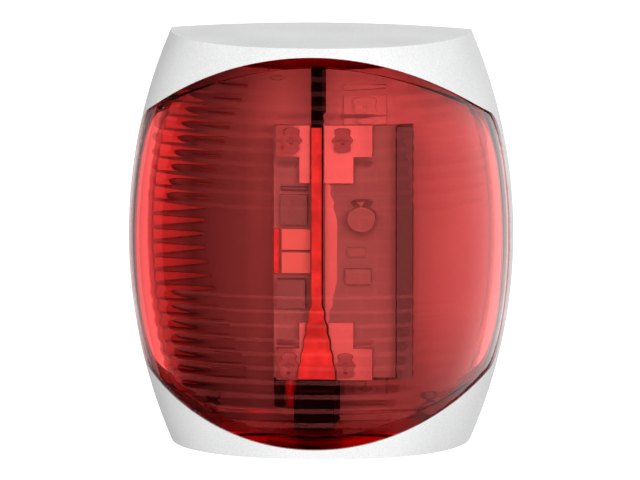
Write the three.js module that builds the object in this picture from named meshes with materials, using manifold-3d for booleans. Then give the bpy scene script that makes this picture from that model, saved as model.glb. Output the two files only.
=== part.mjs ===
// Side navigation light for a boat: a barrel-shaped red lantern that slides down onto a mounting plate.
// Millimetres, +Z up. The mounting surface is the plane Y = 0 and the light shines towards -Y.
// The origin is on the mounting surface, at the middle of the light's height and width.
import * as THREE from "three";
import { mergeVertices } from "three/addons/utils/BufferGeometryUtils.js";
import Module from "manifold-3d";

const wasm = await Module();
wasm.setup();

// ---- Driving dimensions ----

// Outer body: side arcs seen from the front, a superellipse front and a bowed back seen from above.
const WIDTH = 70;
const HEIGHT = 75;
const DEPTH = 42;
const SIDE_RADIUS = 94.5;
const RIDGE = 13; // from the mounting surface to the plane where the body is widest
const FRONT_POWER = 2.28;
const FRONT_BULGE = 1.2; // how far the middle of the front stands proud of its top and bottom edges
const BACK_BOW = 7.3;

// Housing and the opening that its lens fills.
const HOUSING_WALL = 2.2;
const OPENING_RADIUS = 45.4;
const OPENING_MARGIN = 1.65; // housing left above and below the opening, at the middle
const OPENING_SIDE = 3.5; // housing left in front of the ridge, at each side
const OPENING_CORNER = 5;
const SNAP_DEPTH = 1.2;
const SNAP_WIDTH = 6;

// Clearances.
const FIT = 0.3; // between pieces whose curved walls face each other
const FACE = 0.1; // between flat faces that are clamped together
const SLIDE = 0.4; // between the rails and their slots

// Lens.
const LENS_RECESS = 0.35;
const WINDOW_WALL = 2.9;
const LENS_WALL = 1.8;
const LENS_STEP = 2.2; // from the opening's edge to where the window thins

// Back cover, its seal and its screws.
const COVER_SET_IN = 0.8; // from the ridge plane back to the cover's rear face
const COVER_WALL = 2;
const SEAL_THICKNESS = 0.8;
const BACK_SCREW_X = 20;
const BACK_SCREW_RADIUS = 1.2;
const BACK_HEAD_RADIUS = 2.5;
const BACK_HEAD_HEIGHT = 1.5;
const BACK_BOSS_RADIUS = 3.2;
const BACK_BOSS_LENGTH = 8;
const VENT_RADIUS = 2;
const VENT_X = -8;

// Mounting plate, its gasket and its rails.
const GASKET = 1;
const PLATE_WIDTH = 44;
const PLATE_HEIGHT = 58;
const PLATE_THICKNESS = 3;
const PLATE_CORNER = 10;
const MOUNT_HOLE_X = 17.8;
const MOUNT_HOLE_RADIUS = 2.2;
const MOUNT_HEAD_RADIUS = 4.2;
const RAIL_X = 11;
const RAIL_LENGTH = 44;
const STEM_WIDTH = 3;
const STEM_HEIGHT = 2.2;
const RAIL_HEAD_WIDTH = 6;
const RAIL_HEAD_HEIGHT = 1.8;
const PAD_GAP = 0.5; // between the plate's face and the pad that the slots are cut in
const PAD_WALL = 1.4; // pad outside its slots
const PAD_TOP = 5; // pad above the slots' closed ends

// Cable inlet.
const INLET_Z = -9;
const INLET_RADIUS = 6.5;
const INLET_CHANNEL = 11.2; // width of the pad's recess for the cable
const INLET_RECESS = 4; // depth of that recess
const GLAND_RADIUS = 4.3;
const GLAND_FLANGE = 1.6;
const CABLE_RADIUS = 3.1;
const LEAD_RADIUS = 0.9;
const LEAD_X = [-1.6, 1.6]; // where the leads pass the gland
const LEAD_BOARD_X = [-7.2, -5]; // where they meet the board's lower edge

// Lock screw below the pad.
const FOOT_WIDTH = 14;
const FOOT_THICKNESS = 3;
const LOCK_Y = -8.4;
const LOCK_SHANK_RADIUS = 1.45;
const LOCK_HEAD_RADIUS = 2.8;
const LOCK_HEAD_HEIGHT = 2.2;
const LOCK_ENGAGEMENT = 5;
const INSERT_RADIUS = 2.5;
const INSERT_LENGTH = 6;
const WASHER_RADIUS = 3.4;
const WASHER_THICKNESS = 0.6;

// LED module: heights are from its own middle, which lies below the origin.
const MODULE_DROP = 1.7;
const BOARD_LEFT = -8;
const BOARD_RIGHT = 14;
const BOARD_HEIGHT = 45.6;
const BOARD_THICKNESS = 1.6;
const BRACKET_DEPTH = 7.5; // from the cover's front face to the bracket's face
const BRACKET_SHEET = 1.4;
const BRACKET_LEG_LEFT = 4.3;
const BRACKET_LEG_RIGHT = 12;
const BRACKET_FOOT = 5.4;
const BRACKET_SCREW_X = 8.2;
const BRACKET_SCREW_RADIUS = 1.1;
const BRACKET_HEAD_RADIUS = 2.1;
const BRACKET_HEAD_HEIGHT = 1.4;
const BRACKET_SCREW_DEPTH = 3;
const CLAMP_LEFT = -7.4;
const CLAMP_RIGHT = 9.9;
const CLAMP_THICKNESS = 3;
const CLAMP_LIP = 0.6; // how far a clamp stands past the board's end
const CLAMP_BAR = 6.4; // height of a clamp's wide bar
const CLAMP_STEM = 4.2; // height of the stem below it
const CLAMP_STEM_LEFT = -3.2;
const CLAMP_STEM_RIGHT = 6.5;
const CLAMP_SCREW_X = 4.6;
const CLAMP_SCREW_SPREAD = 0.5; // the bottom clamp's screws are this much further out
const SCREEN_THICKNESS = 2;
const SCREEN_DEPTH = 2.6;
const SCREEN_FLARE = 7.2; // width of the screen's foot
const SCREEN_FLARE_TOP = -9;
const SCREEN_TOP_REACH = 0.6; // between the screen's ends and the lens's inner walls
const SCREEN_FOOT_GAP = 1.4; // between the screen's foot and the lens's front wall
const SCREEN_STEP = 1.2; // from the board's ends to where the screen reaches back to the cover
const STRIP_THICKNESS = 0.9;
const AFT_SCREEN_WIDTH = 2.7;
const AFT_SCREEN_DEPTH = 6;
const AFT_FLANGE = 4;
const AFT_FLANGE_SHEET = 1.2;
const LED_WIDTH = 5.2;
const LED_HEIGHT = 3.8;
const LED_THICKNESS = 1.1;
const LED_GAP = 0.5;
const SIDE_STRIP_WIDTH = 0.9;

// ---- Sizes that follow from them ----

const FRONT_DEPTH = DEPTH - RIDGE;
const HALF_HEIGHT = HEIGHT / 2;
const TUB_OUT = HOUSING_WALL + FIT;
const TUB_IN = TUB_OUT + LENS_WALL;
const COVER_REAR = -(RIDGE - COVER_SET_IN);
const COVER_FRONT = COVER_REAR - COVER_WALL;
const LENS_RIM = COVER_FRONT - SEAL_THICKNESS - 2 * FACE;
const PLATE_FRONT = -(GASKET + PLATE_THICKNESS);
const PAD_REAR = PLATE_FRONT - PAD_GAP;
const RAIL_FRONT = PLATE_FRONT - STEM_HEIGHT - RAIL_HEAD_HEIGHT;
const PAD_HALF_WIDTH = RAIL_X + RAIL_HEAD_WIDTH / 2 + SLIDE + PAD_WALL;
const FOOT_TOP = -PLATE_HEIGHT / 2;
const FOOT_BOTTOM = FOOT_TOP - FOOT_THICKNESS;
const FOOT_FRONT = LOCK_Y - INSERT_RADIUS - 0.7;
const PAD_BOTTOM = FOOT_TOP + SLIDE;
const SLOT_TOP = RAIL_LENGTH / 2 + SLIDE;
const BACK_SCREW_Z = HALF_HEIGHT - TUB_IN - BACK_BOSS_RADIUS + 0.9;
const BRACKET_FACE = COVER_FRONT - BRACKET_DEPTH;
const BOARD_REAR = BRACKET_FACE - FACE;
const BOARD_FRONT = BOARD_REAR - BOARD_THICKNESS;
const BOARD_TOP = BOARD_HEIGHT / 2;
const CLAMP_REAR = BOARD_FRONT - FACE;
const CLAMP_FRONT = CLAMP_REAR - CLAMP_THICKNESS;
const SCREEN_REAR = BOARD_FRONT - LED_THICKNESS - 2 * FIT;
const SCREEN_FRONT = SCREEN_REAR - SCREEN_DEPTH;
const SCREEN_FOOT_FRONT = -(DEPTH - FRONT_BULGE - LENS_RECESS - WINDOW_WALL - SCREEN_FOOT_GAP);
const BRACKET_SCREW_Z = BOARD_TOP + BRACKET_HEAD_RADIUS + FIT;
const CLAMP_SCREW_Z = BOARD_TOP - 2.2;
const LOCK_DEPTH = INSERT_LENGTH + 1.5;
const VENT_Z = (SLOT_TOP + PAD_TOP + HALF_HEIGHT - TUB_OUT) / 2;
const LED_X = -(SCREEN_THICKNESS / 2 + FIT + LED_WIDTH / 2);

// ---- Colours ----

const material = (color, roughness, metalness = 0) =>
  new THREE.MeshStandardMaterial({ color, roughness, metalness });
const WHITE_PLASTIC = material(0xe9eaea, 0.45);
const RED_PLASTIC = material(0xb3161a, 0.1);
const BLACK_PLASTIC = material(0x101011, 0.5);
const BLACK_RUBBER = material(0x18181a, 0.85);
const CLEAR_RUBBER = material(0xcfcfca, 0.7);
const STAINLESS = material(0xb9bcc0, 0.3, 1);
const BRASS = material(0xb9944a, 0.35, 1);
const ALUMINIUM = material(0xa9acb0, 0.5, 1);
const BOARD_MASK = material(0x1f4a33, 0.5);
const LED_PHOSPHOR = material(0xf0d878, 0.35);
const RED_SLEEVE = material(0xa31515, 0.5);

// ---- Solids ----

// A closed three.js geometry as a manifold-3d solid.
function solid(geometry) {
  const bare = geometry.clone();
  bare.deleteAttribute("normal");
  bare.deleteAttribute("uv");
  const merged = mergeVertices(bare, 1e-4);
  return new wasm.Manifold(
    new wasm.Mesh({
      numProp: 3,
      vertProperties: new Float32Array(merged.attributes.position.array),
      triVerts: new Uint32Array(merged.index.array),
    }),
  );
}

// A manifold-3d solid as a named mesh.
function piece(name, shape, finish) {
  const { vertProperties, triVerts } = shape.getMesh();
  const geometry = new THREE.BufferGeometry();
  geometry.setAttribute("position", new THREE.BufferAttribute(new Float32Array(vertProperties), 3));
  geometry.setIndex(new THREE.BufferAttribute(new Uint32Array(triVerts), 1));
  geometry.computeVertexNormals();
  const mesh = new THREE.Mesh(geometry, finish);
  mesh.name = name;
  return mesh;
}

const join = (first, ...rest) => rest.reduce((whole, part) => whole.add(part), first);
const cut = (first, ...rest) => rest.reduce((whole, part) => whole.subtract(part), first);

// A box between two corners, in any order of its ends.
function box([x0, x1], [y0, y1], [z0, z1]) {
  const geometry = new THREE.BoxGeometry(Math.abs(x1 - x0), Math.abs(y1 - y0), Math.abs(z1 - z0));
  geometry.translate((x0 + x1) / 2, (y0 + y1) / 2, (z0 + z1) / 2);
  return solid(geometry);
}

// A cylinder along Y, from one Y to another.
function rodY(radius, x, z, [y0, y1], sides = 20) {
  const geometry = new THREE.CylinderGeometry(radius, radius, Math.abs(y1 - y0), sides);
  geometry.translate(x, (y0 + y1) / 2, z);
  return solid(geometry);
}

// A cylinder along Z, from one Z to another.
function rodZ(radius, x, y, [z0, z1], sides = 20) {
  const geometry = new THREE.CylinderGeometry(radius, radius, Math.abs(z1 - z0), sides);
  geometry.rotateX(Math.PI / 2);
  geometry.translate(x, y, (z0 + z1) / 2);
  return solid(geometry);
}

// A front-view shape, drawn with X across and Y up, as a slab between two planes of Y.
function slab(shape, [y0, y1], options = {}) {
  const depth = Math.abs(y1 - y0);
  const geometry = new THREE.ExtrudeGeometry(shape, { depth, bevelEnabled: false, ...options });
  geometry.rotateX(Math.PI / 2);
  geometry.translate(0, Math.max(y0, y1), 0);
  return solid(geometry);
}

function roundedRectangle(width, height, radius) {
  const [x, z] = [width / 2 - radius, height / 2 - radius];
  const shape = new THREE.Shape();
  shape.absarc(x, z, radius, 0, Math.PI / 2);
  shape.absarc(-x, z, radius, Math.PI / 2, Math.PI);
  shape.absarc(-x, -z, radius, Math.PI, 1.5 * Math.PI);
  shape.absarc(x, -z, radius, 1.5 * Math.PI, 2 * Math.PI);
  return shape;
}

// Half the body's width at a height, an inset in from its skin: the side is an arc.
const halfWidth = (z, inset) =>
  WIDTH / 2 - SIDE_RADIUS + Math.sqrt((SIDE_RADIUS - inset) ** 2 - z ** 2);

// How far the body's front stands in front of the ridge plane at a height.
const frontDepth = (z, inset) => FRONT_DEPTH - inset - FRONT_BULGE * (z / HALF_HEIGHT) ** 2;

// The body, an inset in from its skin. Its back is bowed, or runs straight back to a plane.
function body(inset, back = null) {
  const FRONT_POINTS = 28;
  const BOW_POINTS = 8;
  const LEVELS = 12;
  const half = halfWidth(0, inset);
  const front = frontDepth(0, inset);
  const outline = new THREE.Shape();
  for (let i = 0; i <= FRONT_POINTS; i++) {
    const angle = Math.PI + (Math.PI * i) / FRONT_POINTS;
    const [across, ahead] = [Math.cos(angle), Math.abs(Math.sin(angle))];
    const x = half * Math.sign(across) * Math.abs(across) ** (2 / FRONT_POWER);
    const y = -RIDGE - front * ahead ** (2 / FRONT_POWER);
    if (i) outline.lineTo(x, y);
    else outline.moveTo(x, y);
  }
  if (back !== null) {
    outline.lineTo(half, back);
    outline.lineTo(-half, back);
  } else {
    for (let i = 1; i < BOW_POINTS; i++) {
      const share = 1 - (2 * i) / BOW_POINTS;
      outline.lineTo(half * share, -RIDGE + BACK_BOW * (1 - share ** 2));
    }
  }
  const height = HEIGHT - 2 * inset;
  const geometry = new THREE.ExtrudeGeometry(outline, {
    depth: height,
    steps: LEVELS,
    bevelEnabled: false,
  });
  geometry.translate(0, 0, -height / 2);
  const place = geometry.attributes.position;
  for (let i = 0; i < place.count; i++) {
    const z = place.getZ(i);
    const ahead = place.getY(i) + RIDGE;
    place.setX(i, (place.getX(i) * halfWidth(z, inset)) / half);
    if (ahead < 0) place.setY(i, -RIDGE + (ahead * frontDepth(z, inset)) / front);
  }
  return solid(geometry);
}

// The lens opening, cut straight through the front between two arcs, an inset in from its edge.
// Its rear rim is rounded, which gives the opening rounded corners at the sides.
function opening(inset) {
  const radius = OPENING_RADIUS - inset;
  const drop = OPENING_RADIUS - (HALF_HEIGHT - OPENING_MARGIN);
  const tip = Math.asin(drop / radius);
  const shape = new THREE.Shape();
  shape.absarc(0, -drop, radius, tip, Math.PI - tip);
  shape.absarc(0, drop, radius, Math.PI + tip, 2 * Math.PI - tip);
  const rear = RIDGE + OPENING_SIDE + inset;
  return slab(shape, [-(rear + OPENING_CORNER), -2 * DEPTH], {
    curveSegments: 24,
    bevelEnabled: true,
    bevelThickness: OPENING_CORNER,
    bevelSize: OPENING_CORNER,
    bevelOffset: -OPENING_CORNER,
    bevelSegments: 5,
  });
}

// The body's rear outline, an inset in from its skin: two side arcs between a flat top and bottom.
function rimOutline(inset, Kind = THREE.Shape) {
  const radius = SIDE_RADIUS - inset;
  const centre = WIDTH / 2 - SIDE_RADIUS;
  const turn = Math.asin((HALF_HEIGHT - inset) / radius);
  const outline = new Kind();
  outline.absarc(centre, 0, radius, -turn, turn);
  outline.absarc(-centre, 0, radius, Math.PI - turn, Math.PI + turn);
  return outline;
}

// A pan-head screw along Y: its head's back is at the first Y and its point at the last.
function screwY(x, z, head, under, point, headRadius, shankRadius) {
  const RECESS = 0.6;
  const SLOT = headRadius / 3;
  const floor = head + Math.sign(under - head) * RECESS * Math.abs(under - head);
  const arm = headRadius * 0.6;
  return cut(
    join(
      rodY(headRadius, x, z, [head, under], 16),
      rodY(shankRadius, x, z, [under, point], 12),
    ),
    box([x - arm, x + arm], [head + Math.sign(head - under), floor], [z - SLOT / 2, z + SLOT / 2]),
    box([x - SLOT / 2, x + SLOT / 2], [head + Math.sign(head - under), floor], [z - arm, z + arm]),
  );
}

// ---- Housing and lens ----

// White shell: top cap, bottom cap and two side rails, open at the back.
function makeHousing() {
  const inside = HALF_HEIGHT - HOUSING_WALL;
  const railRecess = RAIL_X + RAIL_HEAD_WIDTH / 2 + 2 * SLIDE;
  const footRecess = FOOT_WIDTH / 2 + 2 * SLIDE;
  const below = [-HALF_HEIGHT - 1, -inside + 1];
  let shell = cut(
    body(0),
    body(HOUSING_WALL, RIDGE),
    opening(0),
    box([-railRecess, railRecess], [0, RAIL_FRONT - 2 * SLIDE], below),
    box([-footRecess, footRecess], [0, FOOT_FRONT - SLIDE], below),
  );
  const snapRear = COVER_REAR + FIT + SNAP_DEPTH;
  for (const side of [-1, 1]) {
    for (const end of [-1, 1]) {
      const x = side * (railRecess + 0.5);
      const snap = [end * (inside - SNAP_DEPTH), end * (inside + HOUSING_WALL / 2)];
      shell = join(shell, box([x, x + side * SNAP_WIDTH], [COVER_REAR + FIT, snapRear], snap));
    }
  }
  return piece("housing", shell, WHITE_PLASTIC);
}

// Red tub that lines the housing, with a window that stands out through the opening.
function makeLens() {
  const behind = box([-WIDTH, WIDTH], [LENS_RIM, DEPTH], [-HEIGHT, HEIGHT]);
  const tub = body(TUB_OUT, RIDGE).subtract(behind);
  const window = body(LENS_RECESS, RIDGE).intersect(opening(FIT));
  const thinned = body(LENS_RECESS + WINDOW_WALL, RIDGE).intersect(opening(FIT + LENS_STEP));
  let lens = cut(join(tub, window), body(TUB_IN, RIDGE), thinned);
  const bossEnd = LENS_RIM - BACK_BOSS_LENGTH;
  for (const side of [-1, 1]) {
    for (const end of [-1, 1]) {
      const [x, z] = [side * BACK_SCREW_X, end * BACK_SCREW_Z];
      const boss = rodY(BACK_BOSS_RADIUS, x, z, [LENS_RIM, bossEnd], 16);
      const hole = rodY(BACK_SCREW_RADIUS + FIT, x, z, [LENS_RIM + 1, bossEnd + 1.2], 12);
      lens = cut(join(lens, boss), hole);
    }
  }
  return piece("lens", lens, RED_PLASTIC);
}

// ---- Back cover ----

// Flat cover with a pad behind it, whose two slots slide down over the plate's rails.
function makeBackCover() {
  const slotBottom = PAD_BOTTOM - 1;
  const stem = STEM_WIDTH / 2 + SLIDE;
  const head = RAIL_HEAD_WIDTH / 2 + SLIDE;
  let cover = join(
    slab(rimOutline(TUB_OUT), [COVER_REAR, COVER_FRONT]),
    box([-PAD_HALF_WIDTH, PAD_HALF_WIDTH], [PAD_REAR, COVER_REAR], [PAD_BOTTOM, SLOT_TOP + PAD_TOP]),
  );
  for (const side of [-1, 1]) {
    const x = side * RAIL_X;
    const headRear = PLATE_FRONT - STEM_HEIGHT + SLIDE;
    const span = [slotBottom, SLOT_TOP];
    cover = cut(
      cover,
      box([x - stem, x + stem], [PAD_REAR + 1, headRear - 1], span),
      box([x - head, x + head], [headRear, RAIL_FRONT - SLIDE], span),
    );
    for (const end of [-1, 1]) {
      const through = [COVER_REAR + 1, COVER_FRONT - 1];
      cover = cover.subtract(
        rodY(BACK_SCREW_RADIUS + FIT, side * BACK_SCREW_X, end * BACK_SCREW_Z, through, 12),
      );
    }
  }
  const channel = INLET_CHANNEL / 2;
  const channelFloor = PAD_REAR - INLET_RECESS;
  const channelSpan = [INLET_Z - INLET_RADIUS, INLET_Z + INLET_RADIUS];
  cover = cut(
    cover,
    box([-channel, channel], [PAD_REAR + 1, channelFloor], channelSpan),
    rodY(GLAND_RADIUS + FIT, 0, INLET_Z, [channelFloor + 1, COVER_FRONT - 1]),
    rodZ(INSERT_RADIUS + FACE, 0, LOCK_Y, [PAD_BOTTOM - 1, PAD_BOTTOM + LOCK_DEPTH]),
    rodY(VENT_RADIUS + FACE, VENT_X, VENT_Z, [COVER_REAR + 1, COVER_FRONT - 1], 16),
  );
  for (const end of [-1, 1]) {
    const blind = [COVER_FRONT - 1, COVER_FRONT + BRACKET_SCREW_DEPTH + FIT];
    cover = cover.subtract(
      rodY(BRACKET_SCREW_RADIUS + 0.2, BRACKET_SCREW_X, end * BRACKET_SCREW_Z - MODULE_DROP, blind, 12),
    );
  }
  return piece("back_cover", cover, WHITE_PLASTIC);
}

// Flat ring between the lens's rear rim and the back cover.
function makeBackSeal() {
  const ring = rimOutline(TUB_OUT + FIT);
  ring.holes.push(rimOutline(TUB_IN - FIT, THREE.Path));
  const rear = COVER_FRONT - FACE;
  return piece("back_seal", slab(ring, [rear, rear - SEAL_THICKNESS]), CLEAR_RUBBER);
}

function makeBackScrews() {
  const screws = [];
  for (const end of [1, -1]) {
    for (const side of [-1, 1]) {
      const under = COVER_REAR + FACE;
      const shape = screwY(
        side * BACK_SCREW_X,
        end * BACK_SCREW_Z,
        under + BACK_HEAD_HEIGHT,
        under,
        LENS_RIM - BACK_BOSS_LENGTH + 2,
        BACK_HEAD_RADIUS,
        BACK_SCREW_RADIUS,
      );
      screws.push(piece(`back_screw_${screws.length + 1}`, shape, STAINLESS));
    }
  }
  return screws;
}

// Breather plug that lets pressure out of the sealed lantern.
function makeVentPlug() {
  const head = COVER_REAR + FACE;
  const shape = cut(
    join(
      rodY(VENT_RADIUS + 0.5, VENT_X, VENT_Z, [head, head + 1], 16),
      rodY(VENT_RADIUS, VENT_X, VENT_Z, [head, COVER_FRONT + FACE], 16),
    ),
    rodY(0.8, VENT_X, VENT_Z, [head + 2, COVER_FRONT - 2], 12),
  );
  return piece("vent_plug", shape, BLACK_PLASTIC);
}

// Rubber gland: a socket for the supply cable behind, and a bore for each lead in front.
function makeCableGland() {
  const rear = PAD_REAR - INLET_RECESS + FIT;
  const flange = COVER_FRONT - FACE;
  const front = flange - GLAND_FLANGE;
  let gland = join(
    rodY(GLAND_RADIUS, 0, INLET_Z, [rear, front]),
    rodY(GLAND_RADIUS + 1.2, 0, INLET_Z, [flange, front]),
  );
  gland = gland.subtract(rodY(CABLE_RADIUS, 0, INLET_Z, [rear + 1, COVER_FRONT + 1.5], 16));
  for (const x of LEAD_X) {
    gland = gland.subtract(rodY(LEAD_RADIUS + 0.2, x, INLET_Z, [COVER_FRONT + 2, front - 1], 12));
  }
  return piece("cable_gland", gland, BLACK_RUBBER);
}

// ---- Mounting plate ----

function makePlateGasket() {
  const RIM = 0.5;
  const sheet = roundedRectangle(PLATE_WIDTH - 2 * RIM, PLATE_HEIGHT - 2 * RIM, PLATE_CORNER - RIM);
  const past = [1, -GASKET - 1];
  const shape = cut(
    slab(sheet, [0, -GASKET]),
    rodY(INLET_RADIUS, 0, INLET_Z, past, 28),
    rodY(MOUNT_HOLE_RADIUS + 0.3, -MOUNT_HOLE_X, 0, past),
    rodY(MOUNT_HOLE_RADIUS + 0.3, MOUNT_HOLE_X, 0, past),
  );
  return piece("plate_gasket", shape, BLACK_RUBBER);
}

// Plate that is screwed to the boat: two T rails hold the lantern, and a foot takes the lock screw.
function makeMountingPlate() {
  const past = [0, PLATE_FRONT - 1];
  const foot = FOOT_WIDTH / 2;
  let plate = join(
    slab(roundedRectangle(PLATE_WIDTH, PLATE_HEIGHT, PLATE_CORNER), [-GASKET, PLATE_FRONT]),
    box([-foot, foot], [-GASKET, PLATE_FRONT], [FOOT_BOTTOM, FOOT_TOP + 1]),
    box([-foot, foot], [-GASKET, FOOT_FRONT], [FOOT_BOTTOM, FOOT_TOP]),
  );
  for (const side of [-1, 1]) {
    const x = side * RAIL_X;
    const span = [-RAIL_LENGTH / 2, RAIL_LENGTH / 2];
    const stemFront = PLATE_FRONT - STEM_HEIGHT;
    plate = cut(
      join(
        plate,
        box([x - STEM_WIDTH / 2, x + STEM_WIDTH / 2], [PLATE_FRONT + 1, stemFront - 0.5], span),
        box([x - RAIL_HEAD_WIDTH / 2, x + RAIL_HEAD_WIDTH / 2], [stemFront, RAIL_FRONT], span),
      ),
      rodY(MOUNT_HOLE_RADIUS, side * MOUNT_HOLE_X, 0, past),
      rodY(MOUNT_HEAD_RADIUS, side * MOUNT_HOLE_X, 0, [PLATE_FRONT + 1, PLATE_FRONT - 1]),
    );
  }
  plate = cut(
    plate,
    rodY(INLET_RADIUS, 0, INLET_Z, past, 28),
    rodZ(LOCK_SHANK_RADIUS + FIT, 0, LOCK_Y, [FOOT_BOTTOM - 1, FOOT_TOP + 1], 16),
  );
  return piece("mounting_plate", plate, WHITE_PLASTIC);
}

// Brass insert in the bottom of the pad.
function makeLockInsert() {
  const span = [PAD_BOTTOM, PAD_BOTTOM + INSERT_LENGTH];
  const shape = cut(
    rodZ(INSERT_RADIUS, 0, LOCK_Y, span),
    rodZ(LOCK_SHANK_RADIUS + 0.2, 0, LOCK_Y, [span[0] - 1, span[1] + 1], 16),
  );
  return piece("lock_insert", shape, BRASS);
}

function makeLockWasher() {
  const top = FOOT_BOTTOM - FACE;
  const shape = cut(
    rodZ(WASHER_RADIUS, 0, LOCK_Y, [top, top - WASHER_THICKNESS], 24),
    rodZ(LOCK_SHANK_RADIUS + 0.25, 0, LOCK_Y, [top + 1, top - WASHER_THICKNESS - 1], 16),
  );
  return piece("lock_washer", shape, STAINLESS);
}

function makeLockScrew() {
  const SOCKET_RADIUS = 1.4;
  const SOCKET_DEPTH = 1.3;
  const under = FOOT_BOTTOM - 2 * FACE - WASHER_THICKNESS;
  const head = under - LOCK_HEAD_HEIGHT;
  const shape = cut(
    join(
      rodZ(LOCK_HEAD_RADIUS, 0, LOCK_Y, [under, head], 24),
      rodZ(LOCK_SHANK_RADIUS, 0, LOCK_Y, [under, PAD_BOTTOM + LOCK_ENGAGEMENT], 16),
    ),
    rodZ(SOCKET_RADIUS, 0, LOCK_Y, [head - 1, head + SOCKET_DEPTH], 6),
  );
  return piece("lock_screw", shape, STAINLESS);
}

// ---- LED module ----

// Folded strip of sheet aluminium: a face, and a leg and foot at its top and bottom.
function makeBracket() {
  const faceRear = BRACKET_FACE + BRACKET_SHEET;
  const footRear = COVER_FRONT - FACE;
  const footFront = footRear - BRACKET_SHEET;
  const legs = [BRACKET_LEG_LEFT, BRACKET_LEG_RIGHT];
  let bracket = box([BOARD_LEFT, BOARD_RIGHT], [BRACKET_FACE, faceRear], [-BOARD_TOP, BOARD_TOP]);
  for (const end of [-1, 1]) {
    const leg = [end * (BOARD_TOP - BRACKET_SHEET), end * BOARD_TOP];
    const foot = [end * (BOARD_TOP - BRACKET_SHEET), end * (BOARD_TOP + BRACKET_FOOT)];
    bracket = cut(
      join(bracket, box(legs, [BRACKET_FACE, footRear], leg), box(legs, [footFront, footRear], foot)),
      rodY(BRACKET_SCREW_RADIUS + FIT, BRACKET_SCREW_X, end * BRACKET_SCREW_Z, [0, footFront - 1], 12),
    );
  }
  return piece("led_bracket", bracket, ALUMINIUM);
}

function makeBracketScrews() {
  const under = COVER_FRONT - 2 * FACE - BRACKET_SHEET;
  return [1, -1].map((end, i) => {
    const point = COVER_FRONT + BRACKET_SCREW_DEPTH;
    const shape = screwY(
      BRACKET_SCREW_X,
      end * BRACKET_SCREW_Z,
      under - BRACKET_HEAD_HEIGHT,
      under,
      point,
      BRACKET_HEAD_RADIUS,
      BRACKET_SCREW_RADIUS,
    );
    return piece(`bracket_screw_${i + 1}`, shape, STAINLESS);
  });
}

function makeBoard() {
  const shape = box([BOARD_LEFT, BOARD_RIGHT], [BOARD_REAR, BOARD_FRONT], [-BOARD_TOP, BOARD_TOP]);
  return piece("led_board", shape, BOARD_MASK);
}

// Chips and other parts soldered to the board: name, X span, Z span, height and finish.
function makeBoardParts() {
  const left = -(SCREEN_THICKNESS / 2 + FIT);
  const ledSpan = [LED_X - LED_WIDTH / 2, LED_X + LED_WIDTH / 2];
  const ledEnd = LED_GAP / 2 + LED_HEIGHT;
  const sideSpan = [BOARD_LEFT + FACE, BOARD_LEFT + FACE + SIDE_STRIP_WIDTH];
  const clampEnd = BOARD_TOP + CLAMP_LIP - CLAMP_BAR - CLAMP_STEM;
  const parts = [
    ["led_emitter_upper", ledSpan, [LED_GAP / 2, LED_GAP / 2 + LED_HEIGHT], LED_THICKNESS, LED_PHOSPHOR],
    ["led_emitter_lower", ledSpan, [-LED_GAP / 2 - LED_HEIGHT, -LED_GAP / 2], LED_THICKNESS, LED_PHOSPHOR],
    ["led_side_strip", sideSpan, [-ledEnd, ledEnd], LED_THICKNESS, WHITE_PLASTIC],
    ["driver_chip", [left - 5.4, left - 0.6], [ledEnd + 0.95, clampEnd - 1.8], 1.6, BLACK_PLASTIC],
    ["inductor", [left - 6, left - 0.9], [-ledEnd - 1.05, 2.6 - clampEnd], 2.9, BLACK_PLASTIC],
    ["protection_diode", [5, 9.6], [-6, -3.2], 1.5, BLACK_PLASTIC],
    ["sense_resistor", [5.4, 8.6], [-1, 0.6], 0.6, BLACK_PLASTIC],
  ];
  const soldered = parts.map(([name, x, z, height, finish]) => {
    const seat = BOARD_FRONT - FACE;
    return piece(name, box(x, [seat, seat - height], z), finish);
  });
  const can = rodY(2.5, 8, 6.6, [BOARD_FRONT - FACE, BOARD_FRONT - FACE - 4.6]);
  return [...soldered, piece("capacitor", can, ALUMINIUM)];
}

// The screen's outline seen from the front, grown by a clearance: narrow, with a flared lower part.
function screenOutline(top, bottom, clearance) {
  const narrow = SCREEN_THICKNESS / 2 + clearance;
  const wide = SCREEN_FLARE / 2 + clearance;
  const shape = new THREE.Shape();
  shape.moveTo(-narrow, top);
  shape.lineTo(-narrow, SCREEN_FLARE_TOP);
  shape.lineTo(-wide, Math.max(bottom, -BOARD_TOP - 2));
  shape.lineTo(-wide, bottom - 0.01);
  shape.lineTo(wide, bottom - 0.01);
  shape.lineTo(wide, Math.max(bottom, -BOARD_TOP - 2));
  shape.lineTo(narrow, SCREEN_FLARE_TOP);
  shape.lineTo(narrow, top);
  return shape;
}

// How far out a clamp's screw is; a positive end is the top clamp's.
const clampScrewX = (side, end) =>
  side * (end > 0 ? CLAMP_SCREW_X : CLAMP_SCREW_X + CLAMP_SCREW_SPREAD);

// White clamps that hold the board's ends: a wide bar with a stem, slotted for the screen.
function makeClamps() {
  const clearance = slab(screenOutline(HEIGHT, -HEIGHT, FIT), [SCREEN_REAR + FIT, -DEPTH]);
  return [
    ["board_clamp_top", 1],
    ["board_clamp_bottom", -1],
  ].map(([name, end]) => {
    const edge = BOARD_TOP + CLAMP_LIP;
    const depth = [CLAMP_REAR, CLAMP_FRONT];
    const stem = edge - CLAMP_BAR;
    let clamp = join(
      box([CLAMP_LEFT, CLAMP_RIGHT], depth, [end * edge, end * stem]),
      box([CLAMP_STEM_LEFT, CLAMP_STEM_RIGHT], depth, [end * (stem + 1), end * (stem - CLAMP_STEM)]),
    );
    clamp = cut(clamp, clearance);
    for (const side of [-1, 1]) {
      const hole = [CLAMP_REAR + 1, CLAMP_FRONT - 1];
      clamp = clamp.subtract(rodY(1.3, clampScrewX(side, end), end * CLAMP_SCREW_Z, hole, 12));
    }
    return piece(name, clamp, WHITE_PLASTIC);
  });
}

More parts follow.
